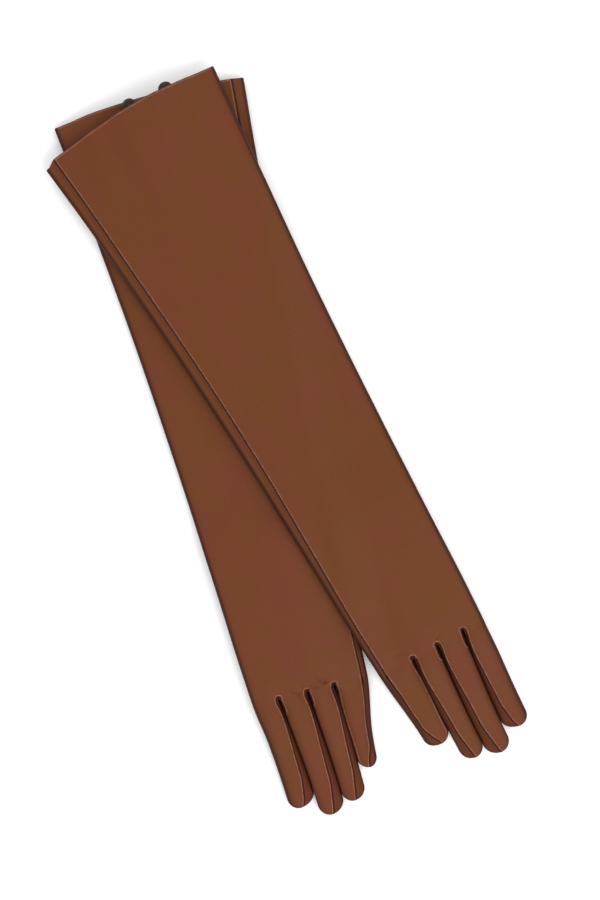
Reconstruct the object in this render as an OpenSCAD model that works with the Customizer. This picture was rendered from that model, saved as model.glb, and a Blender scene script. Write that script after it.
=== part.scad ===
// Pair of long opera-length leather gloves, lying palm down, the right glove on top of the left.
// Millimetres, +Z up. Each glove is laid out in its own u, v: u across, towards the little finger,
// and v from the cuff edge to the fingertips. place() puts a glove in the shared frame.

/* [Leather] */
// thickness of the glove leather
leather = 0.8; // [0.6:0.05:1.1]
// thickness of the arm lining
lining = 0.4; // [0.3:0.05:0.6]
// height of the flattened arm
arm_height = 7.8; // [7:0.1:10]
// height of the flattened hand and of the fingers
hand_height = 7; // [6.6:0.1:8]

/* [Pattern] */
// half the flat width at the cuff
cuff_half = 73.3; // [66:0.1:80]
// half the flat width at the elbow end of the forearm
forearm_half = 64.5; // [60:0.1:70]
// half the flat width at the wrist
wrist_half = 51.5; // [48:0.1:56]
// half the flat width across the knuckles
hand_half = 44.3; // [42:0.1:47]
// where the fingers start, from the cuff
knuckles = 454.5; // [440:0.5:460]
// depth of the turned hem at the cuff
hem_depth = 10; // [10:1:24]
// how far the middle of the cuff edge bows out
cuff_bow = 4.5; // [0:0.5:8]
// distance of the side seam from the little-finger border at the cuff
seam_inset = 9; // [5:0.5:14]

/* [Thumb] */
// length of the thumb from its root
thumb_length = 71; // [60:1:80]
// half the flat width of the thumb at its root
thumb_half = 13.2; // [11:0.2:15]
// height of the flattened thumb
thumb_height = 5.8; // [5.6:0.1:6]

/* [Buttons] */
// diameter of the buttons, 18 ligne
button_size = 11.4; // [9:0.1:13]
// height of the domed face
button_dome = 2.4; // [1.5:0.1:3]
// length of the shank under the button
button_shank = 1.1; // [0.8:0.1:1.3]

/* [Lay] */
// angle of each glove away from the line halfway between them
cross_angle = 7.7; // [5:0.1:12]
// clear space kept between the gloves
clear = 0.75; // [0.6:0.05:1.2]

/* [Hidden] */
L = 0;
R = 1;
cuff_at = [[13.2, 269.8], [-4.3, 265.0]];   // middle of each cuff in the shared frame, left then right
arm_bend = [-0.2, 8.8];                     // how far each hand lies off its arm's straight line
hand_shift = [0.7, 7.5];
hand_turn = [-1.4, 1.4];
thumb_room = thumb_height + 0.6;
button_back = 0.9;
button_tall = button_dome + button_back + button_shank;
button_room = button_tall + 0.8;
ca = cos(cross_angle);
sa = sin(cross_angle);
c_skin = [0.46, 0.29, 0.19];
c_wall = [0.38, 0.23, 0.15];
c_silk = [0.55, 0.42, 0.32];
c_btn = [0.22, 0.16, 0.14];

function S(x) = let (c = min(1, max(0, x))) c * c * (3 - 2 * c);
function half(v) = lookup(v, [[0, cuff_half], [50, 68.3], [95, forearm_half], [156, 59.4],
  [220, 55.2], [290, wrist_half], [360, 48.3], [424, 46], [456, hand_half]]);
function bend(g, v) = arm_bend[g] * pow(max(v, 0) / 455, 1.3);
function tall(v) = arm_height - (arm_height - hand_height) * S((v - 240) / 200);
function thumb_lift(a, v) = thumb_room * S((v - 295) / 50) * S((510 - v) / 70) * S((44 - a) / 42);
function button_lift(a, v) = button_room * S((95 - v) / 85) * S((44 - abs(a + 19)) / 22);
// height of the left glove's underside
function left_base(a, v) = thumb_lift(a, v) + button_lift(a, v);
// a point of the right glove, in the left glove's own u, v
function in_left(u, v) = let (x = cuff_at[R][0] - u * ca + v * sa - cuff_at[L][0],
  y = cuff_at[R][1] - u * sa - v * ca - cuff_at[L][1]) [x * ca - y * sa, -x * sa - y * ca];
// height the left glove props the right one up to at a point of the right glove
function over(u, v) = let (q = in_left(u, v), w = min(470, max(0, q[1])), a = q[0] - bend(L, w),
  e = half(w) - a) (left_base(max(a, -half(w)), w) + tall(w) + clear) * S((e + 27) / 33);
function base(g, a, v) = left_base(a, v) + (g == R ? over(a + bend(R, v), v) : 0);
function round_top(s) = sqrt(max(0, 1 - pow(abs(s), 5)));
function round_low(s) = abs(s) <= 0.88 ? 1 : sqrt(max(0, 1 - pow((abs(s) - 0.88) / 0.12, 2)));
function edge(s, v) = (4 * S((s - 0.86) / 0.14) - cuff_bow * (1 - s * s)) * S((70 - v) / 70);
// a point of the flattened sleeve, t inside its outer face: side +1 for the back, -1 for the palm
function skin(g, s, v, t, side) = let (a = s * (half(v) - t), h = tall(v) - 2 * t)
  [a + bend(g, v), v + edge(s, v),
   base(g, a, v) + t + h / 2 + side * h / 2 * (side > 0 ? round_top(s) : round_low(s))];
function ring(g, v, t, cols) = let (n = len(cols)) concat(
  [for (s = cols) skin(g, s, v, t, 1)],
  [for (k = [n - 2 : -1 : 1]) skin(g, cols[k], v, t, -1)]);
// triangles of a tube of m rings of n points, outer rings first and inner rings after them
function tube_faces(m, n) = let (q = m * n) concat(
  [for (i = [0 : m - 2], k = [0 : n - 1]) let (j = (k + 1) % n)
    each [[i*n+k, (i+1)*n+j, i*n+j], [i*n+k, (i+1)*n+k, (i+1)*n+j],
      [q+i*n+k, q+i*n+j, q+(i+1)*n+j], [q+i*n+k, q+(i+1)*n+j, q+(i+1)*n+k]]],
  [for (k = [0 : n - 1]) let (j = (k + 1) % n, e = (m - 1) * n)
    each [[k, j, q+j], [k, q+j, q+k], [e+k, q+e+j, e+j], [e+k, q+e+k, q+e+j]]]);
wide = [-1, -0.97, -0.88, -0.72, -0.5, -0.25, 0, 0.25, 0.5, 0.72, 0.88, 0.97, 1];
rows = [0, 10, 24, 42, 62, 82, 104, 130, 158, 186, 214, 242, 268, 294, 312, 330, 348, 372, 398, 420,
  438, knuckles];

// each finger: [root u, root v, tip u, tip v, half the root width, tip radius]
FINGERS = [[-34.7, knuckles, -28.3, 538.5, 9.3, 8.2], [-14.2, knuckles + 0.6, -6.4, 549, 10.5, 9.2],
  [7.2, knuckles, 12.3, 543, 10.1, 8.7], [30.9, knuckles - 0.4, 28.9, 521.5, 12.7, 8.2]];
function turned(g, p) = let (c = cos(hand_turn[g]), s = sin(hand_turn[g]), y = p[1] - knuckles)
  [p[0] * c + y * s + hand_shift[g], knuckles + y * c - p[0] * s];
function root_at(g, f) = turned(g, [FINGERS[f][0], FINGERS[f][1]]);
function tip_at(g, f) = turned(g, [FINGERS[f][2], FINGERS[f][3]]);
function reach(f) = norm([FINGERS[f][2] - FINGERS[f][0], FINGERS[f][3] - FINGERS[f][1]]);
function root_z(g, f) = let (p = root_at(g, f)) base(g, p[0] - bend(g, p[1]), p[1]) + 0.15;
function heading(g, f) = let (p = root_at(g, f), q = tip_at(g, f)) atan2(q[0] - p[0], q[1] - p[1]);
function droop(g, f) = asin(root_z(g, f) / reach(f));
// flat outline: half width w at y0, round end of radius r at length l
function outline(w, r, l, y0) = let (t = asin(min(1, max(-1, (w - r) / (l - r - y0))))) concat([[-w, y0], [w, y0]],
  [for (k = [0 : 10]) let (a = t + (180 - 2 * t) * k / 10) [r * cos(a), l - r + r * sin(a)]]);

// clear space between the knuckle line and the finger leather
root_gap = 2.4;
thumb_root = [-19, 374];
thumb_turn = 8;
BUTTONS = [[[-4.5, 7.5], [-34.1, 8.5]], [[-4.5, -6.6], [-34.1, -4.2]]];

module place(g) {
  translate([cuff_at[g][0], cuff_at[g][1], 0]) rotate([0, 0, g == L ? -cross_angle : cross_angle])
    mirror([g == L ? 0 : 1, 0, 0]) mirror([0, 1, 0]) children();
}

module sleeve(g, at, t_out, t_in, cols) {
  n = 2 * len(cols) - 2;
  polyhedron(points = concat([for (v = at) each ring(g, v, t_out, cols)],
    [for (v = at) each ring(g, v, t_in, cols)]), faces = tube_faces(len(at), n), convexity = 6);
}

module arm_and_hand(g) {
  p = thumb_root;
  color(c_skin) place(g) difference() {
    sleeve(g, rows, 0, leather, wide);
    translate([p[0] + bend(g, p[1]), p[1], base(g, p[0], p[1]) - 1]) cylinder(r = 11.9, h = 3.4, $fn = 40);
  }
}

module cuff_hem(g) {
  color(c_wall) place(g) sleeve(g, [0, hem_depth], leather + 0.06, 2 * leather, wide);
}

module arm_lining(g) {
  color(c_silk) place(g) sleeve(g, concat([hem_depth + 0.5], [for (v = rows) if (v > hem_depth + 1 && v < 331) v]),
    leather + 0.12, leather + 0.12 + lining, wide);
}

function seam_s(v) = 1 - lookup(v, [[0, seam_inset], [100, 8.4], [280, 8], [380, 5.2], [460, 4.6]]) / half(v);
function seam_ring(g, v) = let (p = skin(g, seam_s(v), v, 0, 1))
  [for (k = [0 : 5]) [p[0] + 0.32 * cos(60 * k), p[1], p[2] + 0.36 + 0.28 * sin(60 * k)]];

module side_seam_thread(g) {
  m = len(rows);
  color(c_wall) place(g) polyhedron(points = [for (v = rows) each seam_ring(g, v + (v == 0 ? 1 : 0))],
    faces = concat([for (i = [0 : m - 2], k = [0 : 5]) let (j = (k + 1) % 6)
      each [[i*6+k, (i+1)*6+k, (i+1)*6+j], [i*6+k, (i+1)*6+j, i*6+j]]],
      [[0, 1, 2, 3, 4, 5], [for (k = [5 : -1 : 0]) (m - 1) * 6 + k]]), convexity = 4);
}

module thumb_place(g) {
  p = thumb_root;
  place(g) translate([p[0] + bend(g, p[1]), p[1], 0]) rotate([0, 0, -thumb_turn]) children();
}

module thumb(g) {
  color(c_skin) thumb_place(g) difference() {
    union() {
      translate([0, 0, 0]) cylinder(r = thumb_half, h = thumb_height, $fn = 48);
      linear_extrude(thumb_height) polygon(outline(thumb_half, 8.6, thumb_length - 13, 0));
    }
    translate([0, 0, 0.7]) {
      cylinder(r = thumb_half - 0.7, h = thumb_height - 1.4, $fn = 48);
      linear_extrude(thumb_height - 1.4) polygon(outline(thumb_half - 0.7, 7.9, thumb_length - 13.7, 0));
    }
    translate([0, 0, thumb_height - 2]) cylinder(r = 10.4, h = 3, $fn = 40);
  }
}

module thumb_gusset(g) {
  p = thumb_root;
  color(c_wall) place(g) translate([p[0] + bend(g, p[1]), p[1], base(g, p[0], p[1]) - 0.2])
    difference() {
      cylinder(r = 11.6, h = 1.9, $fn = 40);
      translate([0, 0, -1]) cylinder(r = 10.7, h = 4, $fn = 40);
    }
}

module finger_place(g, f) {
  p = root_at(g, f);
  place(g) translate([p[0], p[1], root_z(g, f) + hand_height]) rotate([0, 0, -heading(g, f)])
    rotate([-droop(g, f), 0, 0]) children();
}

module finger_solid(f, t) {
  q = FINGERS[f];
  translate([0, 0, t - hand_height]) linear_extrude(hand_height - 2 * t)
    polygon(outline(q[4] - t, q[5] - t, reach(f) - t, t == 0 ? root_gap : 0));
}

module side_window(f, side, slack) {
  q = FINGERS[f];
  l = reach(f) - q[5] - 6;
  translate([side > 0 ? q[5] - 3.4 : -q[5] - 6.6, slack == 0 ? 1 : root_gap, 1 + slack - hand_height])
    cube([10, l - (slack == 0 ? 0 : root_gap), hand_height - 2 - 2 * slack]);
}

// sides: -1 for the wall towards the thumb, +1 for the wall towards the little finger
module finger(g, f, sides) {
  color(c_skin) finger_place(g, f) difference() {
    finger_solid(f, 0);
    finger_solid(f, leather);
    for (s = sides) side_window(f, s, 0);
  }
}

module fourchette(g, f, side) {
  color(c_wall) finger_place(g, f) intersection() {
    difference() {
      finger_solid(f, 0);
      finger_solid(f, leather);
    }
    side_window(f, side, 0.05);
  }
}

module button_place(g, b) {
  p = BUTTONS[g][b];
  low = g == L ? 0.1 : over(p[0], 0) - clear + 0.35;
  place(g) translate([p[0], p[1], low]) children();
}

module button(g, b) {
  r = button_size / 2;
  top = button_dome + button_back;
  color(c_btn) button_place(g, b) union() {
    rotate_extrude($fn = 64) polygon(concat(
      [for (k = [0 : 8]) [r * sin(90 * k / 8), button_dome * (1 - cos(90 * k / 8))]],
      [[r, button_dome + 0.15], [r * 0.92, button_dome + 0.55], [r * 0.6, top], [0, top]]));
    translate([0, 0, top - 0.2]) cylinder(r = 1.2, h = button_shank + 0.2, $fn = 32);
  }
}

module button_stay(g, b) {
  p = BUTTONS[g][b];
  v = g == L ? p[1] : 3.2;
  color(c_wall) place(g) translate([p[0], v, base(g, p[0], v) + 2 * leather + 0.35])
    cylinder(r = 3, h = 0.7, $fn = 32);
}

module left_arm_and_hand() { arm_and_hand(L); }
module left_cuff_hem() { cuff_hem(L); }
module left_arm_lining() { arm_lining(L); }
module left_side_seam_thread() { side_seam_thread(L); }
module left_thumb() { thumb(L); }
module left_thumb_gusset() { thumb_gusset(L); }
module left_index_finger() { finger(L, 0, [1]); }
module left_middle_finger() { finger(L, 1, [-1, 1]); }
module left_ring_finger() { finger(L, 2, [-1, 1]); }
module left_little_finger() { finger(L, 3, [-1]); }
module left_fourchette_index() { fourchette(L, 0, 1); }
module left_fourchette_middle_a() { fourchette(L, 1, -1); }
module left_fourchette_middle_b() { fourchette(L, 1, 1); }
module left_fourchette_ring_a() { fourchette(L, 2, -1); }
module left_fourchette_ring_b() { fourchette(L, 2, 1); }
module left_fourchette_little() { fourchette(L, 3, -1); }
module left_button_1() { button(L, 0); }
module left_button_2() { button(L, 1); }
module left_button_stay_1() { button_stay(L, 0); }
module left_button_stay_2() { button_stay(L, 1); }
module right_arm_and_hand() { arm_and_hand(R); }
module right_cuff_hem() { cuff_hem(R); }
module right_arm_lining() { arm_lining(R); }
module right_side_seam_thread() { side_seam_thread(R); }
module right_thumb() { thumb(R); }
module right_thumb_gusset() { thumb_gusset(R); }
module right_index_finger() { finger(R, 0, [1]); }
module right_middle_finger() { finger(R, 1, [-1, 1]); }
module right_ring_finger() { finger(R, 2, [-1, 1]); }
module right_little_finger() { finger(R, 3, [-1]); }
module right_fourchette_index() { fourchette(R, 0, 1); }
module right_fourchette_middle_a() { fourchette(R, 1, -1); }
module right_fourchette_middle_b() { fourchette(R, 1, 1); }
module right_fourchette_ring_a() { fourchette(R, 2, -1); }
module right_fourchette_ring_b() { fourchette(R, 2, 1); }
module right_fourchette_little() { fourchette(R, 3, -1); }
module right_button_1() { button(R, 0); }
module right_button_2() { button(R, 1); }
module right_button_stay_1() { button_stay(R, 0); }
module right_button_stay_2() { button_stay(R, 1); }

left_arm_and_hand();
left_cuff_hem();
left_arm_lining();
left_side_seam_thread();
left_thumb();
left_thumb_gusset();
left_index_finger();
left_middle_finger();
left_ring_finger();
left_little_finger();
left_fourchette_index();
left_fourchette_middle_a();
left_fourchette_middle_b();
left_fourchette_ring_a();
left_fourchette_ring_b();
left_fourchette_little();
left_button_1();
left_button_2();
left_button_stay_1();
left_button_stay_2();
right_arm_and_hand();
right_cuff_hem();
right_arm_lining();
right_side_seam_thread();
right_thumb();
right_thumb_gusset();
right_index_finger();
right_middle_finger();
right_ring_finger();
right_little_finger();
right_fourchette_index();
right_fourchette_middle_a();
right_fourchette_middle_b();
right_fourchette_ring_a();
right_fourchette_ring_b();
right_fourchette_little();
right_button_1();
right_button_2();
right_button_stay_1();
right_button_stay_2();
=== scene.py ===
"""A pair of long leather opera gloves, crossed and lying palm down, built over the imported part."""

import math

import bpy
import numpy as np
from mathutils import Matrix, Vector


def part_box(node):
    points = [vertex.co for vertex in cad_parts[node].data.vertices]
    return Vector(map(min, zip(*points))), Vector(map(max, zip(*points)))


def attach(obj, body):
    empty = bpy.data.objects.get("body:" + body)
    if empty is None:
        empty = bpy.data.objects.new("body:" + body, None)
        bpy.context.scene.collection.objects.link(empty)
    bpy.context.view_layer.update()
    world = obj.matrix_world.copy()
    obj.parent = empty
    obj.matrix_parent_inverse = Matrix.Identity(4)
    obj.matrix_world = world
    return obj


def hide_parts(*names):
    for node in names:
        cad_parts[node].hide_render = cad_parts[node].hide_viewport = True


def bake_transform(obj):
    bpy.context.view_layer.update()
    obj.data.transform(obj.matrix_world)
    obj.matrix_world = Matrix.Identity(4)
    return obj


bl_info = {
    "name": "Opera gloves",
    "version": (1, 0, 0),
    "blender": (4, 2, 0),
    "location": "3D View > Sidebar > Gloves",
    "description": "Builds a pair of long leather gloves over their packed part",
    "category": "Add Mesh",
}

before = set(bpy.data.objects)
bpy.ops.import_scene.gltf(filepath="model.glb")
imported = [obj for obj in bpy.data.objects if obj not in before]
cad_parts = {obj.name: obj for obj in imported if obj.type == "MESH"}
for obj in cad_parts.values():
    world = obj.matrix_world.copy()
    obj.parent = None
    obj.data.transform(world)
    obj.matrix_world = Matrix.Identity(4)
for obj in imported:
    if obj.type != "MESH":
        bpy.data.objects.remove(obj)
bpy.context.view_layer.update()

# ---- pattern and lay, in millimetres, the same as the part's source ----
SIDES = ("left", "right")
FINGER_NAMES = ("index", "middle", "ring", "little")
CROSS = math.radians(7.7)
CUFF_AT = ((13.2, 269.8), (-4.3, 265.0))
ARM_BEND = (-0.2, 8.8)
HAND_SHIFT = (0.7, 7.5)
HAND_TURN = (-1.4, 1.4)
KNUCKLES = 454.5
ARM_HEIGHT, HAND_HEIGHT, THUMB_HEIGHT = 7.8, 7.0, 5.8
THUMB_ROOM = THUMB_HEIGHT + 0.6
BUTTON_ROOM = 5.2
CLEAR = 0.75
HALF_AT = (0, 50, 95, 156, 220, 290, 360, 424, 456)
HALF_WIDTH = (73.3, 68.3, 64.5, 59.4, 55.2, 51.5, 48.3, 46.0, 44.3)
SEAM_AT = (0, 100, 280, 380, 460)
SEAM_IN = (9.0, 8.4, 8.0, 5.2, 4.6)
# root u, v, tip u, v, half the root width, tip radius
FINGERS = (
    (-34.7, 454.5, -28.3, 538.5, 9.3, 8.6),
    (-14.2, 455.1, -6.4, 549.0, 10.5, 9.4),
    (7.2, 454.5, 12.3, 543.0, 10.1, 9.0),
    (30.9, 454.1, 28.9, 521.5, 12.7, 8.6),
)
SLOTS = (-25.2, -3.2, 17.5)
THUMB_ROOT = (-19.0, 374.0)
THUMB_TURN = 8.0
BUTTON_AT = (((-4.5, 7.5), (-34.1, 8.5)), ((-4.5, -6.6), (-34.1, -4.2)))
WALL_STEPS = 8
FOLD = 2.6


def ease(x):
    c = np.clip(x, 0.0, 1.0)
    return c * c * (3 - 2 * c)


def hermite(x, xs, ys):
    """A smooth curve through the points xs, ys."""
    xs = np.asarray(xs, float)
    ys = np.asarray(ys, float)
    m = np.gradient(ys, xs)
    x = np.clip(x, xs[0], xs[-1])
    i = np.clip(np.searchsorted(xs, x, side="right") - 1, 0, len(xs) - 2)
    h = xs[i + 1] - xs[i]
    t = (x - xs[i]) / h
    a = (1 + 2 * t) * (1 - t) ** 2 * ys[i] + t * (1 - t) ** 2 * h * m[i]
    return a + t * t * (3 - 2 * t) * ys[i + 1] + t * t * (t - 1) * h * m[i + 1]


def half_width(v):
    return hermite(v, HALF_AT, HALF_WIDTH)


def bend(g, v):
    return ARM_BEND[g] * (np.maximum(v, 0) / 455) ** 1.3


def thickness(v):
    return ARM_HEIGHT - (ARM_HEIGHT - HAND_HEIGHT) * ease((v - 240) / 200)


def own_lift(a, v):
    """How far the folded thumb and the buttons hold the palm off what it lies on."""
    thumb = THUMB_ROOM * ease((v - 295) / 50) * ease((510 - v) / 70) * ease((44 - a) / 42)
    return thumb + BUTTON_ROOM * ease((95 - v) / 85) * ease((44 - np.abs(a + 19)) / 22)


def in_left(u, v):
    """A point of the right glove in the left glove's own u, v."""
    c, s = math.cos(CROSS), math.sin(CROSS)
    x = CUFF_AT[1][0] - u * c + v * s - CUFF_AT[0][0]
    y = CUFF_AT[1][1] - u * s - v * c - CUFF_AT[0][1]
    return x * c - y * s, -x * s - y * c


def over_left(u, v):
    """How high the left glove holds the right one."""
    p, q = in_left(u, v)
    w = np.clip(q, 0, 470)
    a = p - bend(0, w)
    edge = half_width(w) - a
    top = own_lift(np.maximum(a, -half_width(w)), w) + thickness(w) + CLEAR
    return top * ease((edge + 27) / 33)


def under_z(g, a, v):
    z = own_lift(a, v)
    if g == 1:
        z = z + over_left(a + bend(1, v), v)
    return z


def seam_a(v):
    return half_width(v) - hermite(v, SEAM_AT, SEAM_IN)


def to_row(g, p):
    """Points in a glove's own u, v, z millimetres to the shared frame in metres."""
    c, s = math.cos(CROSS), math.sin(CROSS)
    u, v, z = p[..., 0], p[..., 1], p[..., 2]
    m = 1.0 if g == 0 else -1.0
    x = CUFF_AT[g][0] + m * (u * c - v * s)
    y = CUFF_AT[g][1] - u * s - v * c
    return np.stack([x, y, z], -1) / 1000.0


def turned(g, p):
    a = math.radians(HAND_TURN[g])
    y = p[1] - KNUCKLES
    return np.array(
        [
            p[0] * math.cos(a) + y * math.sin(a) + HAND_SHIFT[g],
            KNUCKLES + y * math.cos(a) - p[0] * math.sin(a),
        ]
    )


def finger_line(g, f):
    """Root point, unit direction, unit across (towards the little finger) and length of a finger."""
    root = turned(g, FINGERS[f][:2])
    tip = turned(g, FINGERS[f][2:4])
    reach = float(np.linalg.norm(tip - root))
    along = (tip - root) / reach
    return root, along, np.array([along[1], -along[0]]), reach


def waves(g, u, v):
    """Slow rise and fall of soft leather, the same on each run."""
    k = 1.7 * g
    z = 0.16 * np.sin(u / 23.0 + 0.4 + k + 0.6 * np.sin(v / 61.0 + k))
    z = z + 0.18 * np.sin(v / 31.0 + u / 47.0 + 1.1 + k)
    z = z + 0.09 * np.sin(u / 11.0 - v / 37.0 + 2.3 * k)
    return z + 0.06 * np.sin(v / 13.0 + u / 9.0 + 0.7 + k)


def bump(d, w):
    return np.exp(-((d / w) ** 2))


def crease(u, v, p, q, deep, wide):
    """A soft crease from p to q, with a little ridge beside it."""
    d = np.array([q[0] - p[0], q[1] - p[1]], float)
    n = np.linalg.norm(d)
    d = d / n
    along = (u - p[0]) * d[0] + (v - p[1]) * d[1]
    off = (u - p[0]) * -d[1] + (v - p[1]) * d[0]
    off = off + 0.12 * n * np.sin(along / n * 2.6)
    fade = ease((along + 1.5) / 4) * ease((n + 1.5 - along) / 5)
    return fade * deep * (-bump(off, wide) + 0.7 * bump(off - 1.9 * wide, wide))


def relief(g, u, v):
    """Small shapes on the back: rims round the ends of the finger slots, creases and puckers."""
    z = np.zeros_like(u)
    for f in range(3):
        s = turned(g, (SLOTS[f], KNUCKLES + 0.8))
        r = np.hypot((u - s[0]) * 1.15, v - s[1])
        back = ease((s[1] + 4 - v) / 4)
        z = z + back * (0.42 * bump(r - 2.9, 0.8) - 0.8 * bump(r, 1.7))
        z = z - 0.5 * bump(u - s[0], 5.0) * bump(v - s[1] + 3, 9.0)
    s = turned(g, (SLOTS[2], KNUCKLES))
    if g == 0:
        # the right glove's second button presses a shallow hollow into the left cuff
        at = in_left(*BUTTON_AT[1][1])
        z = z - 0.9 * bump(np.hypot(u - float(at[0]), v - float(at[1])), 9.0)
        z = z + crease(u, v, (s[0] - 4, s[1] - 3), (s[0] - 13, s[1] - 9), 0.95, 0.8)
        z = z + crease(u, v, (s[0] - 2, s[1] - 5), (s[0] - 25, s[1] - 4), 0.70, 0.9)
        z = z + crease(u, v, (s[0] - 24, s[1] + 1), (s[0] - 34, s[1] - 6), 0.80, 0.8)
    else:
        z = z + crease(u, v, (s[0] + 1, s[1] - 4), (s[0] + 12, s[1] - 9), 0.45, 1.0)
        z = z + crease(u, v, (s[0] - 20, s[1] - 3), (s[0] - 27, s[1] - 9), 0.42, 1.0)
    return z


def seam_relief(g, d, v):
    """The long seam's groove, with the edge of the back standing up beside it."""
    at = 362 if g else 205
    pucker = 1 + 0.35 * np.sin(v / 1.9) * bump(v - at, 26) + 0.18 * np.sin(v / 4.3 + 1)
    z = -1.0 * bump(d, 0.62) + 0.38 * pucker * bump(d + 1.0, 0.5)
    z = z + 0.14 * pucker * bump(d - 1.5, 0.9)
    return z - 0.8 * ease(d / 4) + 0.35 * bump(d - 5.2, 1.8)


# ---- the skin of a whole glove, cut into its leather pieces afterwards ----
TIGHT = np.array([-1.25, -0.75, -0.38, 0.0, 0.38, 0.75])
LEFT_COLS = (16, 17, 16, 19)
STRIP_COLS = (4, 4, 4, 8)


def columns(lo, hi, seam, f, scale=1.0):
    """Places across one finger's width of leather, close together at its seam."""
    tight = seam + TIGHT * scale
    a = np.linspace(lo, tight[0], LEFT_COLS[f] + 1)
    b = np.linspace(tight[-1], hi, STRIP_COLS[f] + 1)
    return np.concatenate([a[:-1], tight, b[1:]])


COLS = [LEFT_COLS[f] + len(TIGHT) + STRIP_COLS[f] for f in range(4)]
FIRST = np.concatenate([[0], np.cumsum([c - 1 for c in COLS])])
TOP = int(FIRST[-1]) + 1
SEAM_COL = [LEFT_COLS[f] + 3 for f in range(4)]


def hand_columns(g, v):
    """Where the columns of one row of the arm and hand lie, from the thumb side to the other."""
    inner = float(half_width(v)) - FOLD
    at_slots = [turned(g, (s, KNUCKLES))[0] - float(bend(g, KNUCKLES)) for s in SLOTS]
    scale = inner / (float(half_width(KNUCKLES)) - FOLD)
    ends = [-inner] + [s * scale for s in at_slots] + [inner]
    near = float(ease((v - 425) / (KNUCKLES - 425)))
    out = []
    for f in range(4):
        lo, hi = ends[f], ends[f + 1]
        if f == 3:
            row = columns(lo, hi, float(seam_a(v)), f)
        else:
            even = np.linspace(lo, hi, COLS[f])
            row = even * (1 - near) + columns(lo, hi, hi - 1.1, f, 0.75) * near
        out.append(row if f == 0 else row[1:])
    return np.concatenate(out)


def wall(top, low, out, bulge):
    """Points down a rounded side from an edge of the back to the same edge of the palm."""
    th = np.pi * np.arange(1, WALL_STEPS) / WALL_STEPS
    mid = (top + low) / 2
    half = (top - low) / 2
    side = np.array([out[0], out[1], 0.0]) * bulge
    return mid + half * np.cos(th)[:, None] + side * np.sin(th)[:, None]


def hem_edge(g, s, v):
    """The cuff edge bows out in its middle and slopes back at the seam corner."""
    return ((0.6, 4.0)[g] * ease((s - 0.86) / 0.14) - 4.5 * (1 - s * s)) * ease((70 - v) / 70)


def marks_round(seam, rim, walls=WALL_STEPS - 1):
    """Distances to the nearest seam and to the rim for each point of a ring."""
    n = len(seam)
    side = np.tile([9.0, 0.0], (walls, 1))
    palm = np.column_stack([np.full(n, 99.0), rim[::-1]])
    return np.concatenate([np.column_stack([seam, rim]), side, palm, side])


def hand_ring(g, v, inside=0.0, shift=0.0):
    """One closed ring round the arm or hand at v, moved in by a leather thickness if asked."""
    a = hand_columns(g, v)
    wide = float(half_width(v))
    k = (wide - FOLD - inside * 0.3) / (wide - FOLD)
    a = a * k
    s = a / (wide - FOLD)
    u = a + bend(g, v)
    vv = v + shift + hem_edge(g, a / wide, v)
    zb = under_z(g, a, np.full_like(a, v))
    tall = float(thickness(v))
    d = a - float(seam_a(v))
    face = 1.0 if inside == 0 else 0.0
    calm = ease(v / 12) * ease((1.02 - np.abs(s)) / 0.1)
    zt = zb + tall * (1 - 0.10 * np.abs(s) ** 6) - inside
    zt = zt + face * (seam_relief(g, d, v) + relief(g, u, vv) + calm * waves(g, u, vv))
    zl = zb + tall * 0.10 * np.abs(s) ** 8 + inside
    top = np.stack([u, vv, zt], -1)
    low = np.stack([u, vv, zl], -1)
    bulge = max(0.4, FOLD - inside * 0.7)
    right = wall(top[-1], low[-1], (1, 0), bulge)
    left = wall(top[0], low[0], (-1, 0), bulge)
    # seam distances, with made-up values along the cuff edge and round the slot ends, so the leather material
    # paints a dark line of shade and a light line of highlight at the cuff edge, and a dark spot of shade in
    # each slot end with a light ring of highlight round it
    marked = np.maximum(d, np.where(d < -2.5, -0.35 - v, -99.0))
    for slot_u in SLOTS:
        end = turned(g, (slot_u, KNUCKLES))
        inward = np.minimum(0.15, 1.9 - np.hypot(u - end[0], vv - end[1]))
        marked = np.maximum(marked, np.where(d < -3, inward, -99.0))
    if inside:
        marked = np.full(TOP, 9.0)
    # distance in from the rounded side, which the leather material uses for its painted shade along the rims
    rim = wide - FOLD - np.abs(a) + 0.8
    return np.concatenate([top, right, low[::-1], left[::-1]]), marks_round(marked, rim)


def finger_rows(reach, r):
    start = np.array([0.5, 1.0, 1.6, 2.3, 3.1, 4.0, 5.0, 6.2, 7.5])
    body = np.arange(8.9, reach - r, 1.45)
    end = reach - r + r * np.sin(np.linspace(0.03, 0.5 * np.pi - 0.05, 16))
    return np.concatenate([start, body, end])


def tip_round(x, n=2.0):
    return np.maximum(1e-4, 1 - np.clip(x, 0, 1) ** n) ** (1 / n)


BOW = (0.6, 1.08, 0.84, -0.6)
LITTLE_OUT = (-2.0, 2.8)


def sides_of(g, f, t):
    """Half the finger's width on its thumb side and on its other side, before the tip rounds it."""
    root, along, across, reach = finger_line(g, f)
    w0, r = FINGERS[f][4:]
    narrow = w0 + (r - w0) * float(ease(t / (reach - r) * 0.95))
    if f == 3:
        return narrow, narrow + LITTLE_OUT[g] * float(ease(t / (0.6 * reach)))
    root2, along2, _, reach2 = finger_line(g, f + 1)
    w2, r2 = FINGERS[f + 1][4:]
    q = min(t, reach2)
    shift = (root2 + along2 * q - root - along * t) @ across
    shift += (BOW[f + 1] - BOW[f]) * math.sin(math.pi * min(1, t / reach))
    beside = w2 + (r2 - w2) * float(ease(q / (reach2 - r2) * 0.95))
    return narrow, narrow + min(5.0, max(0.0, shift - beside - narrow))


def slot_gap(t):
    """Half the opening between two fingers: round at the slot's end, then almost closed."""
    opening = math.sqrt(max(0.0, 1 - max(0.0, 1 - t / 1.4) ** 2))
    return opening * (0.22 + 0.85 * math.exp(-((t / 13.0) ** 2)))


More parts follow.
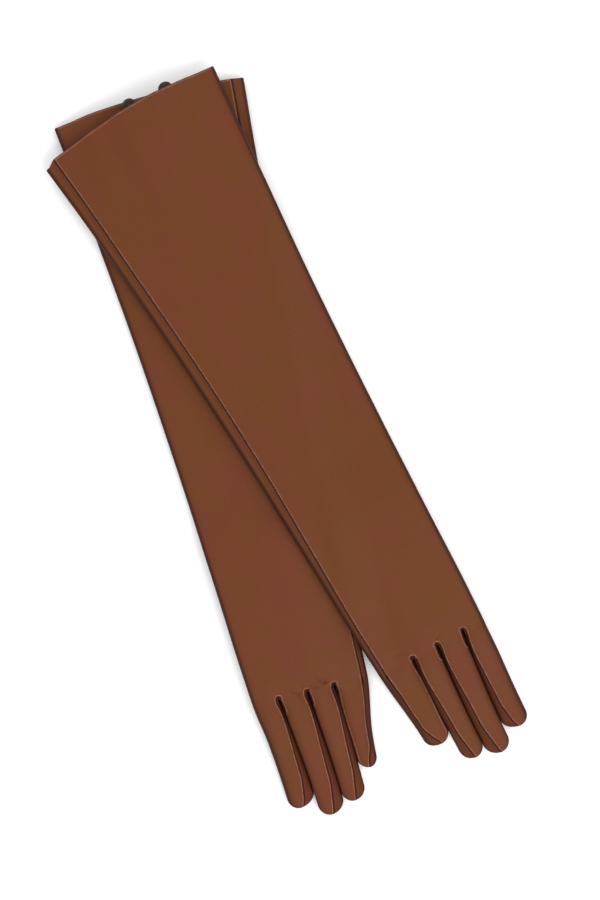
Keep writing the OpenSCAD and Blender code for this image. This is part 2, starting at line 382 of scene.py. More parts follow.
def seam_part(f, p):
    """How far towards the little-finger side the seam runs, p along the finger."""
    if f == 3:
        return 0.86 - 0.02 * p - 0.6 * float(ease((p - 0.72) / 0.28))
    return 0.93 - 0.42 * float(ease(p / 0.75)) - 0.38 * float(ease((p - 0.7) / 0.3))


def finger_places(g, f, t, gap, inset):
    """Columns across the finger for its back, with the seam's place and the two ends."""
    reach = finger_line(g, f)[3]
    r = FINGERS[f][5]
    w_lo, w_hi = sides_of(g, f, t)
    cut = float(tip_round((t - (reach - r)) / r))
    w_lo, w_hi = w_lo * cut, w_hi * cut
    lo = -(w_lo - (min(FOLD, 0.3 * w_lo) if f == 0 else inset + gap * min(1.0, w_lo / 6)))
    hi = w_hi - (min(FOLD, 0.3 * w_hi) if f == 3 else inset + gap * min(1.0, w_hi / 6))
    seam = lo + (hi - lo) * (1 + seam_part(f, t / reach)) / 2
    scale = min(1.0, (w_lo + w_hi) / 14) * (0.75 + 0.25 * float(ease(t / 8)))
    if f < 3:
        seam = min(seam, hi - 1.1 * scale)
    return columns(lo, hi, seam, f, scale), seam, lo, hi, w_lo, w_hi, scale


def finger_ring(g, f, t, hand_top, hand_low):
    """One ring round a finger, t from the knuckle line, easing out of the hand's last row."""
    root, along, across, reach = finger_line(g, f)
    r = FINGERS[f][5]
    e = (t - (reach - r)) / r
    fade = float(tip_round(e))
    inset = 0.25 * float(ease(t / 3)) * fade
    x, seam, lo, hi, w_lo, w_hi, scale = finger_places(g, f, t, slot_gap(t), inset)
    x_low = finger_places(g, f, t, 0.02, 0.01)[0]
    start = finger_places(g, f, 0.0, 0.0, 0.0)[0]
    outer_left, outer_right = f == 0, f == 3
    bl = min(FOLD, 0.3 * w_lo) if outer_left else inset
    br = min(FOLD, 0.3 * w_hi) if outer_right else inset
    p = t / reach
    bow = BOW[f] * math.sin(math.pi * min(1, p))
    z_root = float(under_z(g, root[0] - bend(g, root[1]), root[1]))
    zb = z_root * (1 - float(ease(t / (0.9 * reach)))) + 0.12
    tall = (HAND_HEIGHT - 0.7 * p) * float(tip_round(e, 2.4)) ** 0.8
    lift = (HAND_HEIGHT - 0.7 * p - tall) * 0.45
    xi = np.where(x < 0, x / max(0.2, w_lo), x / max(0.2, w_hi))
    drop = (0.16 if outer_left else 0.34) * np.clip(-xi, 0, 1) ** 4 + 0.10 * np.clip(xi, 0, 1) ** 3
    strip = np.clip((x - seam) / max(0.3, hi - seam), 0, 1)
    drop = drop + (0.22 if f == 3 else 0.50) * strip**1.25 * float(ease(t / 6))
    k = 1.0 + 0.25 * np.sin(t / 2.1 + f) * bump(t - 30, 30)
    d = x - seam
    rel = (-0.9 * bump(d, 0.6 * scale) + 0.38 * k * bump(d + 1.0 * scale, 0.5 * scale)) * fade
    if f > 0:
        rel = rel + 0.3 * bump(x - lo, 0.8) * math.exp(-t / 9)
    soft = 0.16 * np.sin(t / 9.0 + 2 * f + g) * (1 - xi**2) * fade
    zt = zb + lift + tall * (1 - drop) + soft
    zl = zb + lift + tall * 0.16 * np.abs(xi) ** 5
    far = np.clip(-xi if outer_left else (xi if outer_right else 0 * xi), 0, 1) ** 2
    left_over = (1 - ease(t / (9 + 46 * far)))[:, None]
    begin = root[None, :] + start[:, None] * across[None, :]
    middle = root + along * t + across * bow
    uv = middle + x[:, None] * across + (hand_top[:, :2] - begin) * left_over
    uv_low = middle + x_low[:, None] * across + (hand_low[:, :2] - begin) * left_over
    w = ease(t / (3.0 + 9.0 * (1 - np.abs(np.clip(xi, -1, 1)) ** 4)))
    zt = hand_top[:, 2] * (1 - w) + zt * w + rel * float(ease(t / 2))
    zl = hand_low[:, 2] * (1 - float(ease(t / 9))) + zl * float(ease(t / 9))
    top = np.column_stack([uv, zt])
    low = np.column_stack([uv_low, zl])
    right = wall(top[-1], low[-1], across, br)
    left = wall(top[0], low[0], -across, bl)
    # for all but the index finger, made-up seam distances near the root along the edge by the slot, so the
    # leather material paints a dark line of shade and a light line of highlight there
    near = lo + 0.3 - x - (0 if f == 3 else 6 * float(ease((t - 9) / 9)))
    marked = d if f == 0 else np.maximum(d, near)
    # distance in from the finger's edges, which the leather material uses for its painted shade along the
    # rims
    rim = (np.minimum(x - lo, hi - x) + (0.8 if f in (0, 3) else 0.3)) * (1 - 0.35 * float(ease(t / 6)))
    return np.concatenate([top, right, low[::-1], left[::-1]]), marks_round(marked, rim)


def strips(a, b, tags):
    """Quads between two rings of the same length, given as index lists, with a name for each."""
    n = len(a)
    out = []
    for k in range(n):
        j = (k + 1) % n
        out.append((tags[k], (a[k], a[j], b[j], b[k])))
    return out


def glove_skin(g):
    """All the leather of one glove: points, seam distances, outward normals and named faces."""
    pts, dist, faces = [], [], []
    count = 0

    def add(p, d):
        nonlocal count
        pts.append(p)
        dist.append(d)
        ids = list(range(count, count + len(p)))
        count += len(p)
        return ids

    hem_rows = [0, 0.5, 1.2, 2.2, 3.4, 4.8]
    rows = np.concatenate([hem_rows, np.arange(6.2, 445.6, 1.36), np.arange(446, KNUCKLES + 0.1, 0.5)])
    loop = 2 * TOP + 2 * (WALL_STEPS - 1)
    inside = [add(*hand_ring(g, v, t, 0)) for v, t in ((10.0, 1.62), (6.0, 1.62), (3.0, 1.62), (1.2, 1.6))]
    fold = ((1.5, -0.1), (1.15, -0.5), (0.75, -0.62), (0.3, -0.42))
    inside += [add(*hand_ring(g, 0.0, t, s)) for t, s in fold]
    outside = [add(*hand_ring(g, v)) for v in rows]
    for a, b in zip(inside, inside[1:] + outside[:1]):
        faces += strips(a, b, ["cuff_hem"] * loop)
    for a, b in zip(outside, outside[1:]):
        faces += strips(a, b, ["arm_and_hand"] * loop)
    last = outside[-1]
    ring = pts[-1]
    w = WALL_STEPS - 1
    top_ids = last[:TOP]
    right_ids = last[TOP : TOP + w]
    low_ids = last[TOP + w : 2 * TOP + w][::-1]
    left_ids = last[2 * TOP + w :][::-1]
    low_pts = ring[TOP + w : 2 * TOP + w][::-1]
    crotch = []
    for f in range(3):
        c = int(FIRST[f + 1])
        crotch.append(add(wall(ring[c], low_pts[c], (0, 0), 0.0), np.tile([9.0, 0.0], (w, 1))))
    for f in range(4):
        c0, c1 = int(FIRST[f]), int(FIRST[f + 1]) + 1
        r_ids = right_ids if f == 3 else crotch[f]
        l_ids = left_ids if f == 0 else crotch[f - 1]
        prev = top_ids[c0:c1] + r_ids + low_ids[c0:c1][::-1] + l_ids[::-1]
        name = FINGER_NAMES[f] + "_finger"
        far = name if f == 3 else "fourchette_" + ("index", "middle_b", "ring_b")[f]
        near = name if f == 0 else "fourchette_" + ("middle_a", "ring_a", "little")[f - 1]
        n = c1 - c0
        tags = [name] * SEAM_COL[f] + [far] * (n - 1 - SEAM_COL[f] + WALL_STEPS)
        tags += [name] * (n - 1) + [near] * WALL_STEPS
        _, _, _, reach = finger_line(g, f)
        for t in finger_rows(reach, FINGERS[f][5]):
            p, d = finger_ring(g, f, float(t), ring[c0:c1], low_pts[c0:c1])
            ids = add(p, d)
            faces += strips(prev, ids, tags)
            prev = ids
        end = add(pts[-1].mean(0)[None, :] + np.array([[0, 0.35, 0]]), np.array([[9.0, 0.0]]))[0]
        for k in range(len(prev)):
            faces.append((tags[k], (prev[k], prev[(k + 1) % len(prev)], end)))
    p = to_row(g, np.concatenate(pts))
    d = np.concatenate(dist)
    nrm = np.zeros_like(p)
    for size in (3, 4):
        q = np.array([f for _, f in faces if len(f) == size])
        cross = np.cross(p[q[:, 2]] - p[q[:, 0]], p[q[:, -1]] - p[q[:, 1]])
        if size == 3:
            cross = np.cross(p[q[:, 1]] - p[q[:, 0]], p[q[:, 2]] - p[q[:, 0]])
        for k in range(size):
            np.add.at(nrm, q[:, k], cross)
    mid = outside[len(outside) // 2][TOP // 2]
    if nrm[mid][2] < 0:
        faces = [(n, f[::-1]) for n, f in faces]
        nrm = -nrm
    nrm /= np.maximum(1e-12, np.linalg.norm(nrm, axis=1))[:, None]
    return {"p": p, "d": d, "n": nrm, "faces": faces}


SKINS = {}


def skin_of(g):
    if g not in SKINS:
        SKINS[g] = glove_skin(g)
    return SKINS[g]


def mesh_piece(name, p, faces, material, normals=None, marks=None):
    mesh = bpy.data.meshes.new(name)
    mesh.from_pydata(p.tolist(), [], faces)
    if marks is not None:
        for i, key in enumerate(("seam_mm", "rim_mm")):
            attribute = mesh.attributes.new(key, "FLOAT", "POINT")
            attribute.data.foreach_set("value", marks[:, i].astype(np.float32))
    mesh.update()
    mesh.polygons.foreach_set("use_smooth", [True] * len(mesh.polygons))
    if normals is not None:
        mesh.normals_split_custom_set_from_vertices(normals.tolist())
    obj = bpy.data.objects.new(name, mesh)
    bpy.context.collection.objects.link(obj)
    mesh.materials.append(material)
    return obj


def thumb_root(g):
    return np.array([THUMB_ROOT[0] + float(bend(g, THUMB_ROOT[1])), THUMB_ROOT[1]])


def in_thumb_hole(g, middle, radius):
    """Whether a point in metres of the shared frame lies inside the round thumb hole, seen from above."""
    centre = to_row(g, np.array([*thumb_root(g), 0.0]))
    return math.hypot(middle[0] - centre[0], middle[1] - centre[1]) < radius / 1000


def cut_piece(g, tag, name, material):
    """One leather piece out of a glove's skin, with the thumb hole left open in the palm."""
    skin = skin_of(g)
    faces = [f for n, f in skin["faces"] if n == tag]
    if tag == "arm_and_hand":
        p, up = skin["p"], skin["n"]
        faces = [f for f in faces if up[f[0]][2] > 0 or not in_thumb_hole(g, p[list(f)].mean(0), 11.6)]
    used = np.unique(np.concatenate([np.asarray(f) for f in faces]))
    remap = {int(i): k for k, i in enumerate(used)}
    local = [tuple(remap[int(i)] for i in f) for f in faces]
    return mesh_piece(
        name, skin["p"][used], local, material, skin["n"][used], skin["d"][used]
    )


# ---- shader maths ----
class Sock:
    """A shader socket or number that adds Math nodes when it is used in an expression."""

    def __init__(self, tree, value):
        self.tree = tree
        self.value = value

    def math(self, op, *others, clamp=False):
        node = self.tree.nodes.new("ShaderNodeMath")
        node.operation = op
        node.use_clamp = clamp
        for i, x in enumerate((self,) + others):
            x = x.value if isinstance(x, Sock) else x
            if isinstance(x, (int, float)):
                node.inputs[i].default_value = x
            else:
                self.tree.links.new(x, node.inputs[i])
        return Sock(self.tree, node.outputs[0])

    def __add__(self, o):
        return self.math("ADD", o)

    __radd__ = __add__

    def __sub__(self, o):
        return self.math("SUBTRACT", o)

    def __rsub__(self, o):
        return Sock(self.tree, float(o)).math("SUBTRACT", self)

    def __mul__(self, o):
        return self.math("MULTIPLY", o)

    __rmul__ = __mul__

    def __truediv__(self, o):
        return self.math("DIVIDE", o)

    def __neg__(self):
        return self.math("MULTIPLY", -1.0)


class Shade:
    """Builds one material's nodes."""

    def __init__(self, name):
        self.material = bpy.data.materials.new(name)
        self.material.use_nodes = True
        self.tree = self.material.node_tree
        self.bsdf = self.tree.nodes["Principled BSDF"]

    def node(self, kind, settings=None, **sockets):
        n = self.tree.nodes.new(kind)
        for k, v in (settings or {}).items():
            if k == "ramp":
                while len(n.color_ramp.elements) < len(v):
                    n.color_ramp.elements.new(0.5)
                for e, (at, col) in zip(n.color_ramp.elements, v):
                    e.position = at
                    e.color = (*col, 1.0) if not isinstance(col, float) else (col, col, col, 1.0)
            else:
                setattr(n, k, v)
        for k, v in sockets.items():
            self.feed(n, k.replace("_", " "), v)
        return n

    def feed(self, n, key, v):
        s = n.inputs[key] if not key.isdigit() else n.inputs[int(key)]
        v = v.value if isinstance(v, Sock) else v
        if isinstance(v, bpy.types.NodeSocket):
            self.tree.links.new(v, s)
        else:
            s.default_value = v

    def out(self, n, i=0):
        return Sock(self.tree, n.outputs[i])

    def attribute(self, name):
        return self.out(self.node("ShaderNodeAttribute", {"attribute_name": name}), "Fac")

    def position(self):
        return self.node("ShaderNodeTexCoord").outputs["Object"]

    def noise(self, scale, detail=3.0, rough=0.5, at=None):
        n = self.node("ShaderNodeTexNoise", None, Scale=scale, Detail=detail, Roughness=rough)
        self.tree.links.new(at or self.position(), n.inputs["Vector"])
        return self.out(n, "Fac")

    def mix(self, fac, a, b, mode="MIX"):
        n = self.node("ShaderNodeMix", {"data_type": "RGBA", "blend_type": mode})
        self.feed(n, "0", fac)
        for i, c in ((6, a), (7, b)):
            c = c.value if isinstance(c, Sock) else c
            if isinstance(c, bpy.types.NodeSocket):
                self.tree.links.new(c, n.inputs[i])
            else:
                n.inputs[i].default_value = (*c, 1.0)
        return Sock(self.tree, n.outputs[2])

    def bell(self, x, centre, width):
        q = (x - centre) / width
        return Sock(self.tree, 2.71828).math("POWER", -(q * q))

    def finish(self, colour, rough, height, strength, distance):
        self.feed(self.bsdf, "Base Color", colour)
        self.feed(self.bsdf, "Roughness", rough)
        b = self.node("ShaderNodeBump", None, Strength=strength, Distance=distance)
        self.feed(b, "Height", height)
        self.tree.links.new(b.outputs["Normal"], self.bsdf.inputs["Normal"])
        return self.material


MATERIALS = {}


def nappa(name, props, shade=(1.0, 1.0, 1.0)):
    """Smooth glove leather: fine pores and soft red and olive clouds, with painted shade along the rims, in
    the seam's groove and beside it, and a painted highlight on the seam's raised lip.
    """
    if name in MATERIALS:
        return MATERIALS[name]
    s = Shade(name)
    base = tuple(c * k for c, k in zip(props.leather_colour, shade))
    red = (base[0] * 1.05, base[1] * 0.86, base[2] * 1.3)
    olive = (base[0] * 0.93, base[1] * 1.02, base[2] * 0.45)
    dark = (base[0] * 0.17, base[1] * 0.09, base[2] * 0.10)
    pale = (min(1, base[0] * 4.0), min(1, base[1] * 6.5), min(1, base[2] * 20.0))
    clouds = s.noise(17.0, 2.0, 0.5)
    streak = s.noise(34.0, 3.0, 0.55)
    colour = s.mix(clouds.math("MULTIPLY_ADD", 1.9, -0.5, clamp=True), red, base)
    colour = s.mix(streak.math("MULTIPLY_ADD", 1.9, -0.75, clamp=True), colour, olive)
    speck = s.noise(1500.0, 2.0, 0.6)
    colour = s.mix(speck.math("MULTIPLY_ADD", 1.2, -0.42, clamp=True) * 0.35, colour, dark)
    d = s.attribute("seam_mm")
    # painted highlight: a pale line along the seam's raised lip, made to wander and broken up by noise
    wander = (s.noise(420.0, 2.0, 0.5) - 0.5) * 0.35
    patchy = s.noise(260.0, 2.0, 0.6).math("MULTIPLY_ADD", 1.7, -0.25, clamp=True)
    lip = s.bell(d + wander, -0.95, 0.30) * patchy
    groove = s.bell(d, 0.12, 0.62)
    # painted shade along the rounded edges and side walls: darker within about 2.4 mm of the rim, darkest in
    # its last 0.6 mm
    rim = s.attribute("rim_mm").math("MAXIMUM", 0.0)
    colour = s.mix(s.bell(rim, 0.0, 2.4) * 0.30, colour, dark)
    colour = s.mix(s.bell(rim, 0.0, 0.62) * 0.7, colour, dark)
    # painted shade on the strip side of the seam, about 2 mm past its groove, where the surface steps down
    colour = s.mix(s.bell(d, 2.0, 1.3) * 0.22, colour, dark)
    # painted shade in the seam's groove: dark where the seam distance is near zero
    colour = s.mix(groove * 0.94, colour, dark)
    # mix in the painted highlight on the lip
    colour = s.mix(lip * 0.5, colour, pale)
    pore = s.node("ShaderNodeTexVoronoi", {"feature": "F1"}, Scale=1250.0)
    s.tree.links.new(s.position(), pore.inputs["Vector"])
    grain = s.out(pore, "Distance") * 0.5 + s.noise(2600.0, 3.0, 0.6) * 0.35 + s.noise(420.0, 3.0, 0.55) * 0.8
    rough = s.noise(60.0, 3.0, 0.5) * 0.14 + props.leather_roughness - 0.07 + groove * 0.25
    s.bsdf.inputs["Specular IOR Level"].default_value = 0.15
    MATERIALS[name] = s.finish(colour, rough, grain, 0.30, 0.0004)
    return MATERIALS[name]


def plain_cloth(name, colour, scale):
    """A fine plain weave for the lining and thread."""
    if name in MATERIALS:
        return MATERIALS[name]
    s = Shade(name)
    wave = {"wave_type": "BANDS", "wave_profile": "SIN"}
    warp = s.node("ShaderNodeTexWave", {**wave, "bands_direction": "X"}, Scale=scale)
    weft = s.node("ShaderNodeTexWave", {**wave, "bands_direction": "Y"}, Scale=scale)
    for n in (warp, weft):
        s.tree.links.new(s.position(), n.inputs["Vector"])
    weave = s.out(warp, "Fac") * s.out(weft, "Fac")
    dark = tuple(c * 0.55 for c in colour)
    tone = s.mix(weave * 0.7 + s.noise(90.0) * 0.3, dark, colour)
    s.bsdf.inputs["Sheen Weight"].default_value = 0.35
    MATERIALS[name] = s.finish(tone, s.noise(200.0) * 0.15 + 0.5, weave, 0.4, 0.0003)
    return MATERIALS[name]


def horn(name, props):
    """Dark mottled horn for the buttons."""
    if name in MATERIALS:
        return MATERIALS[name]
    s = Shade(name)
    c = props.button_colour
    light = tuple(min(1, k * 2.2 + 0.012) for k in c)
    cloud = s.noise(420.0, 5.0, 0.62)
    vein = s.noise(1300.0, 4.0, 0.6)
    tone = s.mix(cloud.math("MULTIPLY_ADD", 4.0, -1.75, clamp=True), tuple(c), light)
    tone = s.mix(vein.math("MULTIPLY_ADD", 3.0, -1.6, clamp=True) * 0.7, tone, tuple(k * 0.3 for k in c))
    s.bsdf.inputs["Specular IOR Level"].default_value = 0.3
    MATERIALS[name] = s.finish(tone, vein * 0.25 + 0.24, cloud + vein * 0.3, 0.12, 0.0003)
    return MATERIALS[name]


# ---- settings ----
class GloveLeatherSettings(bpy.types.PropertyGroup):
    leather_colour: bpy.props.FloatVectorProperty(
        name="Leather colour",
        description="Colour of the brown nappa leather",
        subtype="COLOR",
        size=3,
        min=0,
        max=1,
        default=(0.124, 0.0365, 0.0098),
    )
    leather_roughness: bpy.props.FloatProperty(
        name="Leather roughness",
        description="How matt the leather is",
        subtype="FACTOR",
        min=0.2,
        max=0.9,
        default=0.56,
    )
    lining_colour: bpy.props.FloatVectorProperty(
        name="Lining colour",
        description="Colour of the thin lining",
        subtype="COLOR",
        size=3,
        min=0,
        max=1,
        default=(0.20, 0.10, 0.06),
    )
    thread_colour: bpy.props.FloatVectorProperty(
        name="Thread colour",
        description="Colour of the sewing thread",
        subtype="COLOR",
        size=3,
        min=0,
        max=1,
        default=(0.075, 0.026, 0.012),
    )
    button_colour: bpy.props.FloatVectorProperty(
        name="Button colour",
        description="Dark colour of the buttons",
        subtype="COLOR",
        size=3,
        min=0,
        max=1,
        default=(0.018, 0.008, 0.006),
    )


class GloveStageSettings(bpy.types.PropertyGroup):
    lens: bpy.props.FloatProperty(
        name="Lens",
        description="Focal length of the camera",
        unit="CAMERA",
        default=85.0,
    )
    frame_height: bpy.props.FloatProperty(
        name="View height",
        description="Length on the floor that the long side of the view takes in",
        unit="LENGTH",
        default=0.675,
    )
    turn: bpy.props.FloatProperty(
        name="Turn",
        description="How far the camera is turned about its own view line",
        subtype="ANGLE",
        default=math.radians(-23.1),
    )
    light: bpy.props.FloatProperty(
        name="Light",
        description="Strength of the soft lights",
        subtype="POWER",
        default=13.0,
    )


def settings():
    return bpy.context.scene.glove_leather


# a darker, redder copy of the same leather, painted shade for the walls set down between the fingers; the
# thumb's welt shares it
def strip_material():
    return nappa("leather_walls", settings(), (0.92, 0.80, 0.86))


def leather_material():
    return nappa("leather_nappa", settings())


class GLOVE_OT_arms(bpy.types.Operator):
    """Make the arm and hand leather and the turned hem of both gloves."""

    bl_idname = "glove.arms"
    bl_label = "Arms and hems"

    def execute(self, context):
        for g, side in enumerate(SIDES):
            arm = cut_piece(g, "arm_and_hand", side + "_arm_and_hand_leather", leather_material())
            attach(arm, side + "_hand")
            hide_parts(side + "_arm_and_hand")
            hem = cut_piece(g, "cuff_hem", side + "_cuff_hem_leather", leather_material())
            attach(hem, side + "_hand")
            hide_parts(side + "_cuff_hem")
        return {"FINISHED"}


def finger_blend(obj, g, f):
    root, along, _, _ = finger_line(g, f)
    z = 0.008
    a = to_row(g, np.array([*(root + along * 1.0), 0.0]))
    b = to_row(g, np.array([*(root + along * 17.0), 0.0]))
    a[2] = b[2] = z
    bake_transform(obj)


class GLOVE_OT_fingers(bpy.types.Operator):
    """Make the eight fingers' back and palm leather."""

    bl_idname = "glove.fingers"
    bl_label = "Fingers"

    def execute(self, context):
        for g, side in enumerate(SIDES):
            for f, n in enumerate(FINGER_NAMES):
                tag = n + "_finger"
                obj = cut_piece(g, tag, f"{side}_{tag}_leather", leather_material())
                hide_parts(f"{side}_{tag}")
                finger_blend(obj, g, f)
        return {"FINISHED"}


WALLS = (("index", 0), ("middle_a", 1), ("middle_b", 1), ("ring_a", 2), ("ring_b", 2), ("little", 3))


class GLOVE_OT_fourchettes(bpy.types.Operator):
    """Make the narrow side walls between the fingers."""

    bl_idname = "glove.fourchettes"
    bl_label = "Finger side walls"

    def execute(self, context):
        for g, side in enumerate(SIDES):
            for n, f in WALLS:
                tag = "fourchette_" + n
                obj = cut_piece(g, tag, f"{side}_{tag}_strip", strip_material())
                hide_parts(f"{side}_{tag}")
                finger_blend(obj, g, f)
        return {"FINISHED"}


def tube(g, rings, name, material, closed_ends=(True, True), opening=0.0):
    """A skin through rings of local points, open on top over the thumb hole if opening is its radius."""
    n = len(rings[0])
    p = np.concatenate(rings)
    faces = []
    for i in range(len(rings) - 1):
        for k in range(n):
            j = (k + 1) % n
            faces.append((i * n + k, i * n + j, (i + 1) * n + j, (i + 1) * n + k))
    if closed_ends[0]:
        faces.append(tuple(range(n))[::-1])
    if closed_ends[1]:
        faces.append(tuple((len(rings) - 1) * n + k for k in range(n)))
    placed = to_row(g, p)
    if opening:
        middles = [placed[list(f)].mean(0) for f in faces]
        faces = [f for f, m in zip(faces, middles) if m[2] < 0.0045 or not in_thumb_hole(g, m, opening)]
    obj = mesh_piece(name, placed, faces, material, None, np.full((len(p), 2), 99.0))
    outward(obj)
    return obj


def only(obj):
    bpy.ops.object.select_all(action="DESELECT")
    obj.select_set(True)
    bpy.context.view_layer.objects.active = obj


def outward(obj):
    only(obj)
    bpy.ops.object.mode_set(mode="EDIT")
    bpy.ops.mesh.select_all(action="SELECT")
    bpy.ops.mesh.normals_make_consistent(inside=False)
    bpy.ops.object.mode_set(mode="OBJECT")


class GLOVE_OT_linings(bpy.types.Operator):
    """Make the thin lining inside each arm."""

    bl_idname = "glove.linings"
    bl_label = "Linings"

    def execute(self, context):
        cloth = plain_cloth("silk_lining", tuple(settings().lining_colour), 900.0)
        pick = np.concatenate([np.arange(0, TOP - 1, 4), [TOP - 1]])
        w = WALL_STEPS - 1
        low = TOP + w + (TOP - 1 - pick[::-1])
        loop = np.concatenate([pick, TOP + np.array([2, 4]), low, 2 * TOP + w + np.array([2, 4])])
        for g, side in enumerate(SIDES):
            outer, inner = [], []
            for v in np.concatenate([[9.0], np.arange(14, 330, 7.0)]):
                outer.append(hand_ring(g, float(v), 1.5)[0][loop])
                inner.append(hand_ring(g, float(v), 1.95)[0][loop])
            rings = outer[::-1] + inner
            obj = tube(g, rings, side + "_arm_lining_silk", cloth, (False, False))
            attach(obj, side + "_hand")
            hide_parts(side + "_arm_lining")
        return {"FINISHED"}


class GLOVE_OT_thumbs(bpy.types.Operator):
    """Make each thumb, folded flat under the palm, and the piece set round its hole."""

    bl_idname = "glove.thumbs"
    bl_label = "Thumbs"

    def execute(self, context):
        a = math.radians(THUMB_TURN)
        along = np.array([math.sin(a), math.cos(a)])
        across = np.array([along[1], -along[0]])
        for g, side in enumerate(SIDES):
            root = thumb_root(g)
            rings = []
            r0, r1, reach = 13.1, 8.5, 57.9
            ts = np.concatenate(
                [
                    r0 * np.sin(np.linspace(-0.5 * np.pi + 0.06, -0.15, 12)),
                    np.arange(0, reach - r1, 1.6),
                    reach - r1 + r1 * np.sin(np.linspace(0.05, 0.5 * np.pi - 0.06, 14)),
                ]
            )
            for t in ts:
                if t < 0:
                    w = math.sqrt(r0 * r0 - t * t)
                    end = math.sqrt(max(0.0, 1 - (t / r0) ** 4))
                else:
                    e = max(0.0, (t - (reach - r1)) / r1)
                    w = (r0 + (r1 - r0) * float(ease(t / (reach - r1)))) * math.sqrt(max(0, 1 - e * e))
                    end = (1 - e**2.6) ** 0.5
                th = np.linspace(0, 2 * np.pi, 56, endpoint=False)
                cx = np.sign(np.cos(th)) * np.abs(np.cos(th)) ** 0.62
                cz = np.sign(np.sin(th)) * np.abs(np.sin(th)) ** 0.55
                x = w * cx
                groove = -0.55 * bump(x - 0.72 * w, 0.7) * (cz > 0.2)
                groove = groove - 0.5 * bump(x + 0.1 * w, 0.8) * (cz < -0.5) * (t > 0)
                z = THUMB_HEIGHT / 2 + (THUMB_HEIGHT / 2 - 0.05) * cz * end
                z = z - groove * (cz < 0) + groove * (cz > 0)
                z = z + 0.12 * np.sin(t / 4.0 + x / 5.0) * (np.abs(cz) > 0.8) * (cz > 0)
                uv = root[None, :] + along[None, :] * t + x[:, None] * across[None, :]
                rings.append(np.column_stack([uv, np.maximum(z, 0.03)]))
            name = side + "_thumb_leather"
            obj = tube(g, rings, name, leather_material(), opening=10.0)
            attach(obj, side + "_thumb")
            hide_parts(side + "_thumb")
            rings = []
            base = float(under_z(g, THUMB_ROOT[0], THUMB_ROOT[1]))
            for th in np.linspace(0, 2 * np.pi, 72, endpoint=False):
                k = 1 + 0.25 * math.sin(12 * th)
                ring = []
                for q in np.linspace(0, 2 * np.pi, 12, endpoint=False):
                    r = 11.6 + 0.95 * math.cos(q)
                    z = base - 0.05 + (0.72 + 0.08 * k) * math.sin(q)
                    ring.append((root[0] + r * math.cos(th), root[1] + r * math.sin(th), z))
                rings.append(np.array(ring))
            rings.append(rings[0])
            name = side + "_thumb_gusset_welt"
            obj = tube(g, rings, name, strip_material(), (False, False))
            only(obj)
            bpy.ops.object.mode_set(mode="EDIT")
            bpy.ops.mesh.select_all(action="SELECT")
            bpy.ops.mesh.remove_doubles(threshold=1e-6)
            bpy.ops.mesh.normals_make_consistent(inside=False)
            bpy.ops.object.mode_set(mode="OBJECT")
            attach(obj, side + "_hand")
            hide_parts(side + "_thumb_gusset")
        return {"FINISHED"}


def turned_button(name, place):
    """A domed button with a raised rim, made by drawing a disc up step by step."""
    steps = (
        (0.18, 1.6), (0.40, 2.9), (0.80, 4.15), (1.30, 4.95), (1.80, 5.42), (2.30, 5.66),
        (2.60, 5.68), (2.90, 5.45), (3.08, 5.0), (3.22, 4.2), (3.28, 2.6), (3.32, 1.25),
        (3.60, 1.15), (4.05, 1.2), (4.30, 0.95),
    )
    bpy.ops.object.select_all(action="DESELECT")
    start = 0.55
    bpy.ops.mesh.primitive_circle_add(vertices=64, radius=start / 1000, fill_type="NGON", location=(0, 0, 0))
    obj = bpy.context.object
    obj.name = name
    bpy.ops.object.mode_set(mode="EDIT")
    bpy.ops.mesh.select_all(action="SELECT")
    z, r = 0.0, start
    for height, radius in steps:
        bpy.ops.mesh.extrude_region_move(TRANSFORM_OT_translate={"value": (0, 0, (height - z) / 1000)})
        bpy.ops.transform.resize(value=(radius / r, radius / r, 1), center_override=(0, 0, height / 1000))
        z, r = height, radius
    bpy.ops.mesh.select_all(action="SELECT")
    bpy.ops.mesh.normals_make_consistent(inside=False)
    bpy.ops.object.mode_set(mode="OBJECT")
    bpy.ops.object.shade_smooth_by_angle(angle=math.radians(40))
    obj.location = place
    bpy.ops.object.transform_apply(location=True, rotation=True, scale=True)
    return obj


class GLOVE_OT_buttons(bpy.types.Operator):
    """Make the four domed buttons, and finish the small discs that hold them inside the hem."""

    bl_idname = "glove.buttons"
    bl_label = "Buttons"

    def execute(self, context):
        material = horn("button_horn", settings())
        for g, side in enumerate(SIDES):
            for b in (1, 2):
                node = f"{side}_button_{b}"
                lo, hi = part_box(node)
                obj = turned_button(node + "_horn", ((lo[0] + hi[0]) / 2, (lo[1] + hi[1]) / 2, lo[2]))
                obj.data.materials.append(material)
                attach(obj, node)
                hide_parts(node)
                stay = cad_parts[f"{side}_button_stay_{b}"]
                for slot in stay.material_slots:
                    slot.material = nappa("leather_stay", settings(), (0.8, 0.75, 0.75))
        return {"FINISHED"}


def strand(start, rise, end, radius, count=9, sides=8):
    """Rings along a thread that leaves start straight up and comes into end from below."""
    rings = []
    turn = np.linspace(0, 2 * np.pi, sides, endpoint=False)
    for k in np.linspace(0, 1, count):
        p = (1 - k) ** 2 * start + 2 * k * (1 - k) * rise + k * k * end
        d = 2 * (1 - k) * (rise - start) + 2 * k * (end - rise)
        d = d / np.linalg.norm(d)
        x = np.cross(d, (0.0, 0.99, 0.14))
        x = x / np.linalg.norm(x)
        y = np.cross(x, d)
        rings.append(p + radius * (np.cos(turn)[:, None] * x + np.sin(turn)[:, None] * y))
    return rings


